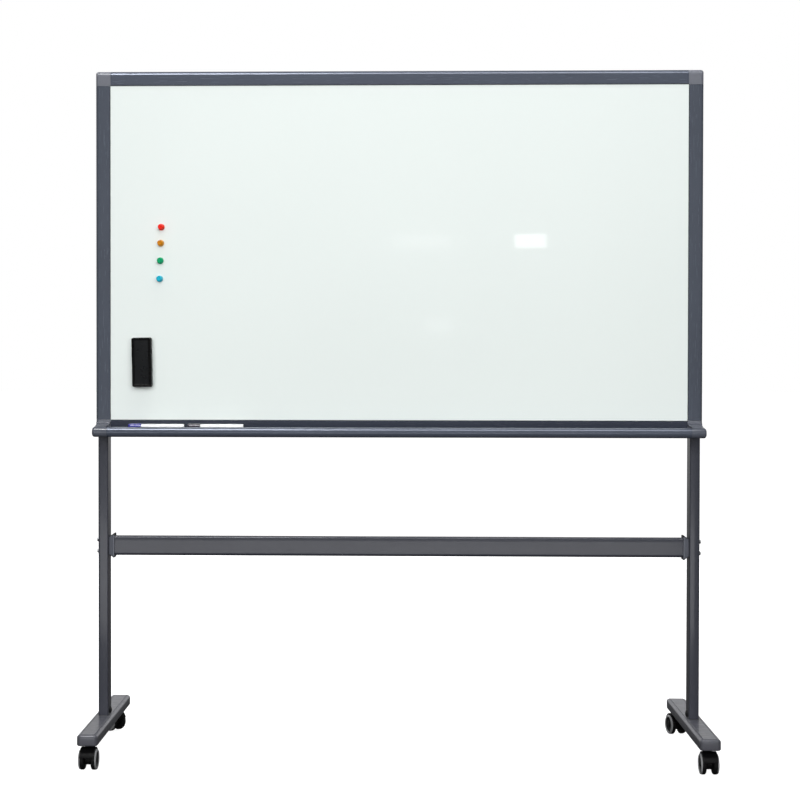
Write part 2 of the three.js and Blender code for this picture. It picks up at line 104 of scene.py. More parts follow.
# ---- the loose things ----
GLASS_FRONT = -54.8      # where the magnets and the eraser start, just off the glass
MAGNETS = {
    "red": (-587, 1310),
    "orange": (-588.5, 1270.5),
    "green": (-589.5, 1227),
    "blue": (-591, 1182),
}
ERASER_X, ERASER_Z = -633, 975
ERASER_WIDTH, ERASER_HEIGHT = 49, 122.5
ERASER_TILT = math.radians(1.15)
MARKERS = {"blue": -667.5, "black": -521}
MARKER_CAP, MARKER_END = 34, 140
MARKER_Y, MARKER_Z = -78, 814.3


# ==== small tools for shapes ====
def arc(a, b, radius, start, end, steps):
    """Points on an arc about (a, b), from one angle to another in degrees."""
    turns = [math.radians(start + (end - start) * i / steps) for i in range(steps + 1)]
    return [(a + radius * math.cos(t), b + radius * math.sin(t)) for t in turns]


def rounded(width, height, radius, steps=6, a=0, b=0):
    """A rectangle about (a, b) with rounded corners."""
    reach_a, reach_b = width / 2 - radius, height / 2 - radius
    corners = ((1, 1, 0), (-1, 1, 90), (-1, -1, 180), (1, -1, 270))
    return [
        point
        for sign_a, sign_b, start in corners
        for point in arc(a + sign_a * reach_a, b + sign_b * reach_b, radius, start, start + 90, steps)
    ]


def split_sides(points, longest):
    """The same closed outline with its long edges cut into pieces of at most that length."""
    result = []
    for here, there in zip(points, points[1:] + points[:1]):
        length = math.dist(here, there)
        cuts = max(1, math.ceil(length / longest))
        result += [
            tuple(h + (t - h) * i / cuts for h, t in zip(here, there)) for i in range(cuts)
        ]
    return result


def softened(points, radius, steps=3, closed=True):
    """The same outline with its corners rounded by about that radius."""
    result = []
    count = len(points)
    for i, corner in enumerate(points):
        if not closed and i in (0, count - 1):
            result.append(corner)
            continue
        here = Vector(corner)
        before, after = Vector(points[i - 1]), Vector(points[(i + 1) % count])
        start = here + (before - here) * min(0.45, radius / max((before - here).length, 1e-6))
        end = here + (after - here) * min(0.45, radius / max((after - here).length, 1e-6))
        for j in range(steps + 1):
            t = j / steps
            result.append(tuple(start * (1 - t) ** 2 + here * (2 * t * (1 - t)) + end * t**2))
    return result


def inset(points, depth):
    """A closed outline moved inwards by a small depth, mitred at its corners."""
    if not depth:
        return points
    ring = [Vector(p) for p in points]
    area = sum(p.x * q.y - q.x * p.y for p, q in zip(ring, ring[1:] + ring[:1]))
    inwards = 1 if area > 0 else -1
    result = []
    for i, here in enumerate(ring):
        before = (here - ring[i - 1]).normalized()
        after = (ring[(i + 1) % len(ring)] - here).normalized()
        normals = [Vector((-d.y, d.x)) * inwards for d in (before, after)]
        miter = max(0.5, 1 + normals[0].dot(normals[1]))
        result.append(tuple(here + (normals[0] + normals[1]) * (depth / miter)))
    return result


def hexagon(radius):
    """The corners of a hexagon about the origin."""
    return [(radius * math.cos(math.pi / 3 * i), radius * math.sin(math.pi / 3 * i)) for i in range(6)]


PLACES = {
    "x": lambda a, b, along: (along, a, b),
    "y": lambda a, b, along: (a, along, b),
    "z": lambda a, b, along: (a, b, along),
}


def level(points, axis, along):
    """An outline placed across an axis. Across X it is drawn in (Y, Z), Y in (X, Z), Z in (X, Y)."""
    return [PLACES[axis](a, b, along) for a, b in points]


def pushed(section, axis, low, high, edge=0.6, steps=3):
    """Loops for a section pushed along an axis, with the edges of both ends rounded.

    A further loop just behind each rounded end keeps the long faces between them flat to the light.
    """
    turns = [math.pi / 2 * i / steps for i in range(steps + 1)]
    ends = [(edge * (1 - math.sin(t)), edge * (1 - math.cos(t))) for t in turns]
    ends.append((0, min(1.5 * edge, (high - low) / 2 - 0.01)))
    start = [level(inset(section, sunk), axis, low + along) for sunk, along in ends]
    end = [level(inset(section, sunk), axis, high - along) for sunk, along in reversed(ends)]
    return start + end


def turned(profile, axis, at=(0, 0, 0), steps=40):
    """Loops for a profile of (radius, distance along the axis), turned about an axis."""
    loops = []
    for radius, along in profile:
        ring = arc(0, 0, radius, 0, 360, steps)[:-1] if radius > 0 else [(0, 0)]
        loops.append([tuple(Vector(p) + Vector(at)) for p in level(ring, axis, along)])
    return loops


class Shape:
    """A mesh put together from lofts, in millimetres."""

    def __init__(self):
        self.mesh = bmesh.new()

    def loft(self, loops, finish=0, closed=False):
        """Joins neighbouring loops with faces, and caps the ends. A loop of one point is a tip."""
        rows = [[self.mesh.verts.new(point) for point in loop] for loop in loops]
        faces = []
        for lower, upper in zip(rows, rows[1:] + (rows[:1] if closed else [])):
            for i in range(max(len(lower), len(upper))):
                corners = (
                    lower[i % len(lower)],
                    lower[(i + 1) % len(lower)],
                    upper[(i + 1) % len(upper)],
                    upper[i % len(upper)],
                )
                faces.append(self.mesh.faces.new(tuple(dict.fromkeys(corners))))
        if not closed:
            faces += [self.mesh.faces.new(end) for end in (rows[0], rows[-1]) if len(end) > 2]
        bmesh.ops.recalc_face_normals(self.mesh, faces=faces)
        for face in faces:
            face.material_index = finish
        return faces

    def move(self, matrix):
        """Moves all that was made so far."""
        bmesh.ops.transform(self.mesh, matrix=matrix, verts=self.mesh.verts)
        return self


def piece(name, shape, finishes, body, nodes=(), sharp=32):
    """Turns a shape into an object that rides on a body and stands for its CAD nodes."""
    shape.move(Matrix.Scale(MM, 4))
    mesh = bpy.data.meshes.new(name)
    shape.mesh.to_mesh(mesh)
    shape.mesh.free()
    for finish in finishes:
        mesh.materials.append(finish)
    mesh.shade_smooth()
    mesh.set_sharp_from_angle(angle=math.radians(sharp))
    made = bpy.data.objects.new(name, mesh)
    bpy.context.scene.collection.objects.link(made)
    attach(made, body)
    if nodes:
        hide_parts(*nodes)
    return made


def at(x, y, z, turn=0):
    """A placement: a turn in radians about Z, then a move."""
    return Matrix.Translation((x, y, z)) @ Matrix.Rotation(turn, 4, "Z")


# ==== materials ====
def new_node(tree, kind, **settings):
    """A node in a material's or the world's tree, with its settings."""
    made = tree.nodes.new(kind)
    for key, value in settings.items():
        setattr(made, key, value)
    return made


class Finish:
    """A principled material with a few procedural helpers. Scales are in features per metre."""

    def __init__(self, name, colour, **values):
        self.material = bpy.data.materials.new(name)
        self.material.use_nodes = True
        self.tree = self.material.node_tree
        self.shader = self.tree.nodes["Principled BSDF"]
        self.colour = colour
        self.shader.inputs["Base Color"].default_value = (*colour, 1)
        for socket, value in values.items():
            self.shader.inputs[socket.replace("_", " ")].default_value = value
        self.place = self.node("ShaderNodeTexCoord").outputs["Object"]

    def node(self, kind, **settings):
        return new_node(self.tree, kind, **settings)

    def join(self, source, target):
        self.tree.links.new(source, target)

    def noise(self, scale, detail=3, stretch=(1, 1, 1)):
        """Noise in the object's own metres. A small stretch along an axis draws it out into lines."""
        mapping = self.node("ShaderNodeMapping")
        mapping.inputs["Scale"].default_value = stretch
        self.join(self.place, mapping.inputs["Vector"])
        made = self.node("ShaderNodeTexNoise")
        made.inputs["Scale"].default_value = scale
        made.inputs["Detail"].default_value = detail
        self.join(mapping.outputs["Vector"], made.inputs["Vector"])
        return made.outputs["Fac"]

    def spread(self, source, low, high, start=0.3, end=0.7):
        """The source's range from start to end, mapped to low to high."""
        made = self.node("ShaderNodeMapRange")
        for socket, value in (("From Min", start), ("From Max", end), ("To Min", low), ("To Max", high)):
            made.inputs[socket].default_value = value
        self.join(source, made.inputs["Value"])
        return made.outputs["Result"]

    def tint(self, source, amount):
        """Colour that wanders by that share about the base colour."""
        made = self.node("ShaderNodeMix", data_type="RGBA")
        dark = [channel * (1 - amount) for channel in self.colour]
        light = [min(1, channel * (1 + amount)) for channel in self.colour]
        made.inputs["A"].default_value = (*dark, 1)
        made.inputs["B"].default_value = (*light, 1)
        self.join(self.spread(source, 0, 1), made.inputs["Factor"])
        self.join(made.outputs["Result"], self.shader.inputs["Base Color"])
        return self

    def rough(self, source, low, high):
        """Roughness that wanders between two values."""
        self.join(self.spread(source, low, high), self.shader.inputs["Roughness"])
        return self

    def bump(self, source, height):
        """Bump of that height in millimetres."""
        made = self.node("ShaderNodeBump")
        made.inputs["Distance"].default_value = height * MM
        made.inputs["Strength"].default_value = 1.0
        self.join(source, made.inputs["Height"])
        for socket in ("Normal", "Coat Normal"):
            self.join(made.outputs["Normal"], self.shader.inputs[socket])
        return self


def linear(red, green, blue):
    """A colour of 0 to 255 a channel, as light."""
    shares = [channel / 255 for channel in (red, green, blue)]
    return tuple(c / 12.92 if c <= 10 / 255 else ((c + 0.055) / 1.055) ** 2.4 for c in shares)


def rail_metal(name, colour, stretch):
    """Anodised aluminium, with the faint lines of drawing along each section."""
    made = Finish(name, colour, Metallic=0.35, Specular_IOR_Level=0.6)
    lines = made.noise(900, 2, stretch)
    made.tint(made.noise(7, 3), 0.04)
    made.rough(lines, 0.2, 0.28)
    made.bump(lines, 0.002)
    return made.material


def stand_paint(name, colour, gloss):
    """Powder coat, with a slight orange peel."""
    made = Finish(name, colour, Metallic=0.15, Coat_Weight=gloss, Coat_Roughness=0.09)
    made.tint(made.noise(5, 3), 0.05)
    made.rough(made.noise(60, 3), 0.33, 0.43)
    made.bump(made.noise(420, 2), 0.02)
    return made.material


def moulded(name, colour, low, high, grain=0.02, scale=1500, shine=0.5):
    """Moulded plastic with a fine spark-eroded grain."""
    made = Finish(name, colour, Specular_IOR_Level=shine)
    made.tint(made.noise(12, 3), 0.05)
    made.rough(made.noise(90, 3), low, high)
    made.bump(made.noise(scale, 2), grain)
    return made.material


def glossy(name, colour, skin=0.6):
    """Polished plastic with a clear skin of that weight."""
    made = Finish(name, colour, Coat_Weight=skin, Coat_Roughness=0.05, Specular_IOR_Level=0.5 * skin)
    made.tint(made.noise(60, 2), 0.04)
    made.rough(made.noise(140, 3), 0.2, 0.32)
    made.bump(made.noise(260, 2), 0.01)
    return made.material


def glass_face():
    """Clear glass with a pale green-white paint on its back, seen as one surface."""
    made = Finish("glass_face", linear(236, 244, 241), Coat_Weight=1.0, Coat_Roughness=0.015, Coat_IOR=1.52)
    made.tint(made.noise(1.4, 1), 0.012)
    made.rough(made.noise(30, 2), 0.3, 0.36)
    return made.material


def backing_sheet():
    """Zinc-coated sheet with a faint spangle."""
    made = Finish("backing_sheet", linear(196, 199, 202), Metallic=0.55)
    cells = made.node("ShaderNodeTexVoronoi")
    cells.inputs["Scale"].default_value = 120
    made.join(made.place, cells.inputs["Vector"])
    made.tint(cells.outputs["Color"], 0.06)
    made.rough(made.noise(40, 3), 0.35, 0.5)
    return made.material


def plated_steel():
    """Zinc-plated steel."""
    made = Finish("plated_steel", linear(150, 152, 156), Metallic=1.0)
    made.tint(made.noise(200, 3), 0.08)
    made.rough(made.noise(700, 3), 0.28, 0.42)
    made.bump(made.noise(1200, 2), 0.008)
    return made.material


def tread_rubber():
    """Dull rubber with a worn, uneven face."""
    made = Finish("tread_rubber", linear(17, 17, 18), Specular_IOR_Level=0.3)
    made.tint(made.noise(90, 4), 0.25)
    made.rough(made.noise(160, 4), 0.5, 0.72)
    made.bump(made.noise(900, 3), 0.03)
    return made.material


def felt():
    """Dark felt with short fibres."""
    made = Finish("felt", linear(28, 28, 31), Roughness=1.0, Sheen_Weight=0.5, Sheen_Roughness=0.5)
    fibres = made.noise(1100, 5, (1, 4, 1))
    made.tint(fibres, 0.4)
    made.bump(fibres, 0.25)
    return made.material


RAIL_X = rail_metal("rail_metal_x", linear(88, 94, 108), (0.02, 1, 1))
RAIL_Z = rail_metal("rail_metal_z", linear(86, 92, 104), (1, 1, 0.02))
# The bottom rail's metal is darker than the other rails: painted shade for where the tray shades it.
SHADED_BOTTOM_RAIL = rail_metal("rail_metal_painted_shade", linear(60, 65, 78), (0.02, 1, 1))
STAND = stand_paint("stand_paint", linear(60, 62, 71), 0.6)
# The feet share the stand's powder coat, made lighter: painted light for the light the floor throws up on
# them.
LIT_FOOT_PAINT = stand_paint("foot_paint_painted_light", linear(86, 87, 94), 0.5)
CORNER = moulded("corner_plastic", linear(104, 107, 116), 0.28, 0.38)
BLACK = moulded("black_plastic", linear(22, 22, 24), 0.4, 0.55)
CASTER_BLACK = moulded("caster_plastic", linear(13, 13, 14), 0.42, 0.56, shine=0.3)
RING_GREY = moulded("caster_ring", linear(140, 141, 143), 0.35, 0.5)
RUBBER_SEAL = moulded("seal_rubber", linear(38, 42, 47), 0.55, 0.7)
NOSE_END = moulded("nose_end_plastic", linear(84, 88, 98), 0.16, 0.24, 0.005, shine=0.7)
ERASER_BLACK = moulded("eraser_shell", linear(5, 5, 6), 0.26, 0.36, 0.01, 900, shine=0.25)
ERASER_PANEL = moulded("eraser_panel", linear(17, 19, 21), 0.26, 0.36, 0.01, 900, shine=0.3)
GLASS = glass_face()
BACKING = backing_sheet()
STEEL = plated_steel()
RUBBER = tread_rubber()
FELT = felt()
MARKER_WHITE = glossy("marker_white", linear(243, 244, 246))
CAP_COLOURS = {
    "blue": glossy("marker_blue_cap", linear(52, 52, 140)),
    "black": glossy("marker_black_cap", linear(52, 48, 60)),
}
MAGNET_COLOURS = {
    name: (glossy(f"magnet_{name}", linear(*head), 0.2), glossy(f"magnet_{name}_base", linear(*base), 0.2))
    for name, head, base in (
        ("red", (238, 34, 14), (246, 70, 48)), ("orange", (208, 130, 10), (236, 170, 66)),
        ("green", (0, 162, 104), (40, 186, 132)), ("blue", (26, 176, 204), (90, 204, 226)),
    )
}


# ==== the board ====
# The frame's section is drawn from its outer front corner: u runs in from the edge, v runs back.
FRAME_SIDES = {
    "top": lambda u, v: (BOARD_FRONT + v, BOARD_TOP - u),
    "bottom": lambda u, v: (BOARD_FRONT + v, BOARD_BOTTOM + u),
    "left": lambda u, v: (-BOARD_HALF + u, BOARD_FRONT + v),
    "right": lambda u, v: (BOARD_HALF - u, BOARD_FRONT + v),
}


def frame_section(radius):
    """The frame's outline, with the slot that holds the glass and its backing."""
    front = arc(radius, radius, radius, 180, 270, 14)
    lip_end = FACE - GASKET
    lip_root = FACE - LIP
    inner = softened(
        [(lip_end - 4, 0), (lip_end, 0), (lip_end, SLOT_START), (lip_root, SLOT_START), (lip_root, SLOT_END),
         (FACE, SLOT_END), (FACE, SLOT_END + 2), (lip_root, SLOT_END + 2), (lip_root, DEPTH)],
        0.5, 2, closed=False)
    back = arc(1, DEPTH - 1, 1, 90, 180, 3)
    return front + inner + back


def board_rails():
    reach = BOARD_HALF - FACE - SEAM
    ends = {
        "x": (-reach, reach),
        "z": (BOARD_BOTTOM + FACE + SEAM, BOARD_TOP - FACE - SEAM),
    }
    radii = {"x": LEVEL_RADIUS, "z": UPRIGHT_RADIUS}
    for side, axis, finish in (("top", "x", RAIL_X), ("bottom", "x", SHADED_BOTTOM_RAIL),
                               ("left", "z", RAIL_Z), ("right", "z", RAIL_Z)):
        section = [FRAME_SIDES[side](u, v) for u, v in frame_section(radii[axis])]
        shape = Shape()
        shape.loft(pushed(section, axis, *ends[axis], edge=0.25, steps=1))
        piece(f"{side}_rail_skin", shape, [finish], "stand", [f"{side}_rail"])


def gasket():
    """The seal that shows as a fine dark line between the frame and the glass."""
    outer, inner = FACE - GASKET + 0.1, FACE
    profile = [(outer, 0.5), (inner - 0.3, 0.5), (inner, 1.1), (inner, 1.95), (outer, 1.95)]
    section = softened(profile, 0.25, 2)
    corners = (
        (-1, BOARD_BOTTOM, 1), (1, BOARD_BOTTOM, 1), (1, BOARD_TOP, -1), (-1, BOARD_TOP, -1),
    )
    loops = [
        [(sign * (BOARD_HALF - u), BOARD_FRONT + v, edge + inwards * u) for u, v in section]
        for sign, edge, inwards in corners
    ]
    shape = Shape()
    shape.loft(loops, closed=True)
    piece("glass_seal", shape, [RUBBER_SEAL], "stand")


def corner_block(x_sign, at_top):
    """Loops of a corner block from its rounded front to its back, as outlines in X and Z."""
    z_sign = 1 if at_top else -1
    edge_z = BOARD_TOP if at_top else BOARD_BOTTOM
    corner_radius = 6.5

    def sunk(radius, depth):
        """How far in a rounded edge lies at a depth behind the front."""
        rest = max(radius - depth, 0)
        return radius - math.sqrt(radius**2 - rest**2)

    def outline(u, w, far):
        radius = max(corner_radius - 0.6 * max(u, w), 2)
        points = arc(u + radius, w + radius, radius, 180, 270, 8)
        points += softened([(far - 1, w), (far, w), (far, far), (u, far), (u, far - 1)], 0.5, 2, closed=False)
        return [(x_sign * (BOARD_HALF - a), edge_z - z_sign * b) for a, b in points]

    loops = []
    steps = 16
    for i in range(steps + 1):
        depth = LEVEL_RADIUS * (1 - math.cos(math.pi / 2 * i / steps))
        far = FACE - (0.4 if i == 0 else 0)
        ring = outline(sunk(UPRIGHT_RADIUS, depth), sunk(LEVEL_RADIUS, depth), far)
        loops.append(level(ring, "y", BOARD_FRONT + depth))
    loops.append(level(outline(0, 0, FACE), "y", BOARD_FRONT + DEPTH - 0.6))
    loops.append(level(outline(0.6, 0.6, FACE - 0.6), "y", BOARD_FRONT + DEPTH))
    return loops


def corner_caps():
    for name, sign in SIDES:
        shape = Shape()
        shape.loft(corner_block(sign, True))
        piece(f"corner_cap_{name}_skin", shape, [CORNER], "stand",
              [f"corner_cap_{name}"])


def nose_outline():
    """The tray's rounded nose as an outline in Y and Z, open to the back."""
    return arc(NOSE_Y, NOSE_Z, NOSE_RADIUS, 90, 270, 32)


def end_web(outer, inner, sign):
    """Level outlines of the web under the ledge. It slopes to the nose, and is narrower lower down."""
    root = BOARD_FRONT + 9
    stages = ((BOARD_BOTTOM + 1, NOSE_Y, 8.5), (NOSE_Z + 9, NOSE_Y, 8.5), (NOSE_Z + 11.2, NOSE_Y + 5, 8),
              (NOSE_Z + 12.6, NOSE_Y + 20, 6.6), (NOSE_Z + 14.5, NOSE_Y + 33, 4.6),
              (NOSE_Z + 17, NOSE_Y + 42, 2.4), (NOSE_Z + 19.5, NOSE_Y + 48, 1), (NOSE_Z + 22, NOSE_Y + 49, 1))
    loops = []
    for z, front, set_back in stages:
        side, far = inner + sign * set_back, outer - sign * 2
        ring = rounded(abs(far - side), root - front, 1.2, 4, (far + side) / 2, (root + front) / 2)
        loops.append(level(ring, "z", z))
    return loops


def tray_ends():
    """Corner block, ledge, web that slopes to the nose, and the nose's rounded end, in one moulding."""
    for name, sign in SIDES:
        outer, inner = sign * BOARD_HALF, sign * (BOARD_HALF - FACE)
        shape = Shape()
        shape.loft(corner_block(sign, False))
        ledge = softened([(BOARD_FRONT + 5, LEDGE_BOTTOM), (BOARD_FRONT + 5, LEDGE_TOP),
                          (BOARD_FRONT - 8, LEDGE_TOP), (BOARD_FRONT - 8, LEDGE_BOTTOM)], 3, 6)
        low, high = sorted((inner + sign * 0.2, outer - sign * 1.5))
        shape.loft(pushed(ledge, "x", low, high, edge=1.0), 1)
        shape.loft(end_web(outer, inner, sign))

        nose = nose_outline() + [(NOSE_Y + 10, NOSE_Z - 12.1), (NOSE_Y + 10, NOSE_Z + 11.9)]
        rounding = 6
        steps = 8
        turns = [math.pi / 2 * i / steps for i in range(steps + 1)]
        loops = [
            level(inset(nose, rounding * (1 - math.cos(t))), "x", outer - sign * rounding * (1 - math.sin(t)))
            for t in reversed(turns)
        ]
        loops += [level(nose, "x", inner + sign * 0.5), level(inset(nose, 0.5), "x", inner)]
        shape.loft(loops, 1)
        piece(f"tray_end_{name}_skin", shape, [CORNER, NOSE_END], "stand",
              [f"tray_end_{name}"])


def glass_panel():
    """The glass sheet, with ground edges under the frame's lip."""
    width = 2 * (BOARD_HALF - SHEET_EDGE)
    height = BOARD_TOP - BOARD_BOTTOM - 2 * SHEET_EDGE
    middle = (BOARD_TOP + BOARD_BOTTOM) / 2
    sheet = rounded(width, height, 3, 4, 0, middle)
    shape = Shape()
    shape.loft(pushed(sheet, "y", *GLASS_SHEET, edge=0.4, steps=2))
    piece("glass_sheet", shape, [GLASS], "stand", ["glass_panel"], sharp=5)


def backing_panel():
    """The sheet behind the glass. Two shallow ribs across it stand out at the back."""
    half = BOARD_HALF - SHEET_EDGE
    low, high = BOARD_BOTTOM + SHEET_EDGE, BOARD_TOP - SHEET_EDGE
    front, ribs = BACKING_SHEET
    flat = ribs - 1.2
    section = [(front, low), (front, high), (flat, high)]
    for middle in RIB_HEIGHTS:
        section += [(flat, middle + 32), (ribs, middle + 26), (ribs, middle - 26), (flat, middle - 32)]
    section += [(flat, low)]
    shape = Shape()
    shape.loft(pushed(softened(section, 0.8, 2), "x", -half, half, edge=0.3, steps=1))
    piece("backing_sheet", shape, [BACKING], "stand", ["backing_panel"])


def pen_tray():
    """The tray's section: a flange on the frame, the floor, and a hollow nose."""
    back = BOARD_FRONT - SEAM
    nose_back = NOSE_Y + NOSE_RADIUS
    under, flange_bottom, flange_top = TRAY_FLOOR - 2, NOSE_Z - 8.3, TRAY_FLOOR + 10
    inner = softened([(nose_back, NOSE_Z - NOSE_RADIUS), (nose_back, under), (back - 2, under),
                      (back - 2, flange_bottom), (back, flange_bottom), (back, flange_top),
                      (back - 2, flange_top), (back - 2, TRAY_FLOOR), (nose_back + 1.5, TRAY_FLOOR),
                      (nose_back, NOSE_Z + NOSE_RADIUS)], 0.8, 3)
    section = nose_outline() + inner
    reach = BOARD_HALF - FACE - SEAM
    shape = Shape()
    shape.loft(pushed(section, "x", -reach, reach, edge=0.25, steps=1))
    piece("pen_tray_skin", shape, [RAIL_X], "stand", ["pen_tray"])


# ==== the stand ====
def post_outline(x, shrink=0.0, crown=0.7):
    """The post's section, whose front and back faces are very slightly crowned."""
    outline = split_sides(rounded(POST_WIDTH - 2 * shrink, POST_DEPTH - 2 * shrink, POST_RADIUS, 6), 3.5)
    half = POST_WIDTH / 2
    return [(x + a, b * (1 - crown / (POST_DEPTH / 2) * (a / half) ** 2)) for a, b in outline]


def posts():
    """The two tubes, with a cap in each upper end."""
    for name, sign in SIDES:
        x = sign * POST_X
        shape = Shape()
        shape.loft(pushed(post_outline(x), "z", FOOT_TOP + SEAM, POST_TOP, edge=0.4, steps=2))
        piece(f"post_{name}_skin", shape, [STAND], "stand", [f"post_{name}"])

        cap = Shape()
        cap.loft(pushed(post_outline(x, 0.1), "z", POST_TOP + SEAM, POST_TOP + 3, edge=1.6, steps=5))
        piece(f"post_cap_{name}_skin", cap, [BLACK], "stand", [f"post_cap_{name}"])


def foot_profile():
    """How far in and how high each loop of a foot lies.

    It is rounded under, and has a broad rounded shoulder and a fine groove round the flat top.
    """
    low, shoulder, groove = 4, 7, 1.6
    turns = [math.pi / 2 * i / 6 for i in range(7)]
    under = [(low * (1 - math.sin(t)), FOOT_BOTTOM + low * (1 - math.cos(t))) for t in turns]
    over = [(shoulder * (1 - math.cos(t)), FOOT_TOP - 0.5 - shoulder * (1 - math.sin(t))) for t in turns]
    top = [(shoulder + 0.2, FOOT_TOP - groove), (shoulder + 1.6, FOOT_TOP - groove),
           (shoulder + 1.8, FOOT_TOP - 0.4), (shoulder + 2.3, FOOT_TOP)]
    return under + over + top


def feet():
    for name, sign in SIDES:
        plan = split_sides(rounded(FOOT_WIDTH, FOOT_LENGTH, 10, 10, sign * POST_X), 40)
        shape = Shape()
        shape.loft([level(inset(plan, sunk), "z", z) for sunk, z in foot_profile()])
        piece(f"foot_{name}_skin", shape, [LIT_FOOT_PAINT], "stand", [f"foot_{name}"], sharp=25)

        # The weld bead where the post meets the foot.
        outer = post_outline(sign * POST_X, -0.9, 0)
        bead = Shape()
        bead.loft([level(outer, "z", FOOT_TOP + 0.05), level(inset(outer, 0.6), "z", FOOT_TOP + 0.6),
                   level(inset(outer, 1.2), "z", FOOT_TOP + 0.9)])
        piece(f"post_foot_seam_{name}", bead, [BLACK], "stand")


def base_screws():
    """The domed screw across each post's base, with a low hexagon on its dome."""
    profile = softened([(0, 5), (3.5, 4.9), (6.8, 3.9), (9, 1.8), (9, 0.2), (0, 0.2)], 0.9, 3, closed=False)
    for name, sign in SIDES:
        shape = Shape()
        shape.loft(turned(profile, "x", steps=36))
        shape.loft([level(hexagon(2.6), "x", 4.7), level(hexagon(2.6), "x", 5.0)])
        shape.move(at(sign * (POST_X - POST_WIDTH / 2), 0, FOOT_TOP + 10, math.pi if sign > 0 else 0))
        piece(f"base_screw_{name}_skin", shape, [BLACK], "stand", [f"base_screw_{name}"])


def cross_bar():
    """The tube between the posts, from bracket to bracket."""
    reach = BOARD_HALF - POST_WIDTH - 6
    section = split_sides(rounded(BAR_DEPTH, BAR_HEIGHT, 6.5, 10, 0, BAR_Z), 6)
    shape = Shape()
    shape.loft(pushed(section, "x", -reach, reach, edge=0.4, steps=2))
    piece("cross_bar_skin", shape, [STAND], "stand", ["cross_bar"])


def bar_brackets():
    """A bracket flares from the post to a rim round the bar. It is black above and below the bar: black trim
    above, and below it painted shade for the flare's underside, which faces down.

    Each stage is the distance from the post, the depth and the height.
    """
    rim = BRACKET_REACH
    stages = ((0.3, 27, 45), (1.0, 28, 46.4), (rim - 3.4, 35.6, 58.6), (rim - 2.6, 37, 61),
              (rim - 0.5, 37, 61), (rim, 36, 60), (rim, 26.4, 50.4), (rim - 1.2, 25.6, 49.6),
              (rim - 5, 25.2, 49.2))
    for name, sign in SIDES:
        shape = Shape()
        loops = [level(split_sides(rounded(depth, height, 3, 4), 8), "x", along)
                 for along, depth, height in stages]
        for face in shape.loft(loops):
            # Black above the bar is trim; black below the bar is painted shade.
            if abs(face.calc_center_median().z) > BAR_HEIGHT / 2:
                face.material_index = 1
        shape.move(at(sign * (BOARD_HALF - POST_WIDTH), 0, BAR_Z, math.pi if sign > 0 else 0))
        piece(f"bar_bracket_{name}_skin", shape, [CORNER, BLACK], "stand",
              [f"bar_bracket_{name}"])


def bolt(axis):
    """A washer and a hexagon head with a chamfered top, from its seat outwards."""
    shape = Shape()
    shape.loft(turned(softened([(0, 0), (7, 0), (7, 1.3), (0, 1.3)], 0.3, 2, closed=False), axis, steps=36))
    side, top = hexagon(5.4), hexagon(4.4)
    shape.loft([level(side, axis, 1.2), level(side, axis, 4.9), level(top, axis, 5.9)])
    return shape


def bolts():
    """Those through the posts into the bar, and those into the board from behind."""
    for name, sign in SIDES:
        outwards = 0 if sign > 0 else math.pi
        for place, offset in (("lower", -BOLT_SPREAD), ("upper", BOLT_SPREAD)):
            shape = bolt("x").move(at(sign * (BOARD_HALF + SEAM), 0, BAR_Z + offset, outwards))
            piece(f"bar_bolt_{name}_{place}_head", shape, [STEEL], "stand",
                  [f"bar_bolt_{name}_{place}"])
        for place, z in BOARD_BOLTS.items():
            shape = bolt("y").move(at(sign * POST_X, POST_DEPTH / 2 + SEAM, z))
            piece(f"board_bolt_{name}_{place}_head", shape, [STEEL], "stand",
                  [f"board_bolt_{name}_{place}"])


# ==== the casters, built about the swivel axis with the wheels trailing to the front ====
def hood():
    """Fender over both wheels, web between them and the collar round the stem."""
    shape = Shape()
    axle = (-TRAIL, WHEEL_RADIUS)
    inner, outer = WHEEL_RADIUS + 1.2, WHEEL_RADIUS + 4.5
    fender = arc(*axle, outer, 20, 165, 28) + arc(*axle, inner, 165, 20, 28)
    half = WHEEL_OUTER - 4
    shape.loft(pushed(softened(fender, 0.5, 1), "x", -half, half, edge=1.1, steps=4))
    web = softened(arc(*axle, 13, 150, 330, 14) + [(9, 29), (10, 34), (10, 56.8), (-10, 56.8)]
                   + arc(*axle, outer - 0.6, 80, 150, 10), 0.4, 1)
    shape.loft(pushed(web, "x", -7.1, 7.1, edge=0.8))
    collar = softened([(0, COLLAR_BOTTOM), (10.5, COLLAR_BOTTOM), (12, COLLAR_BOTTOM + 1.7),
                       (12, COLLAR_TOP), (0, COLLAR_TOP)], 0.8, 3, closed=False)
    shape.loft(turned(collar, "z", steps=40))
    return shape


def stem():
    """The plated flange under the foot, which is all that shows of the stem."""
    shape = Shape()
    low, high = STEM_FLANGE
    profile = softened([(0, low), (8.6, low), (11, low + 0.6), (11, high - 1), (9.5, high), (0, high)],
                       0.4, 2, closed=False)
    shape.loft(turned(profile, "z", steps=40))
    return shape


def wheel():
    """A wheel along +X: black tread, a grey ring round its shoulder and a dished hub disc with a boss."""
    shape = Shape()
    face = WHEEL_OUTER
    tread = softened([(3.6, WHEEL_INNER), (22.6, WHEEL_INNER), (WHEEL_RADIUS, WHEEL_INNER + 2.6),
                      (WHEEL_RADIUS, face - 4.8), (24.6, face - 4.1), (0, face - 4.1)], 1.2, 5, closed=False)
    shape.loft(turned(tread, "x", steps=64), 0)
    ring = softened([(24.5, face - 4), (24.4, face - 2.6), (23.4, face - 1.0), (21.6, face - 0.3),
                     (20, face - 0.2), (19.3, face - 0.8), (19.3, face - 4)], 0.5, 3)
    shape.loft(turned(ring, "x", steps=64), 1, closed=True)
    disc = softened([(19.1, face - 4), (19.1, face - 2.4), (17.6, face - 2.0), (12, face - 2.8),
                     (7.5, face - 2.6), (6.4, face - 1.6), (3, face - 1.1), (0, face - 1.1)],
                    0.6, 3, closed=False)
    shape.loft(turned([(0, face - 4)] + disc, "x", steps=64), 2)
    return shape


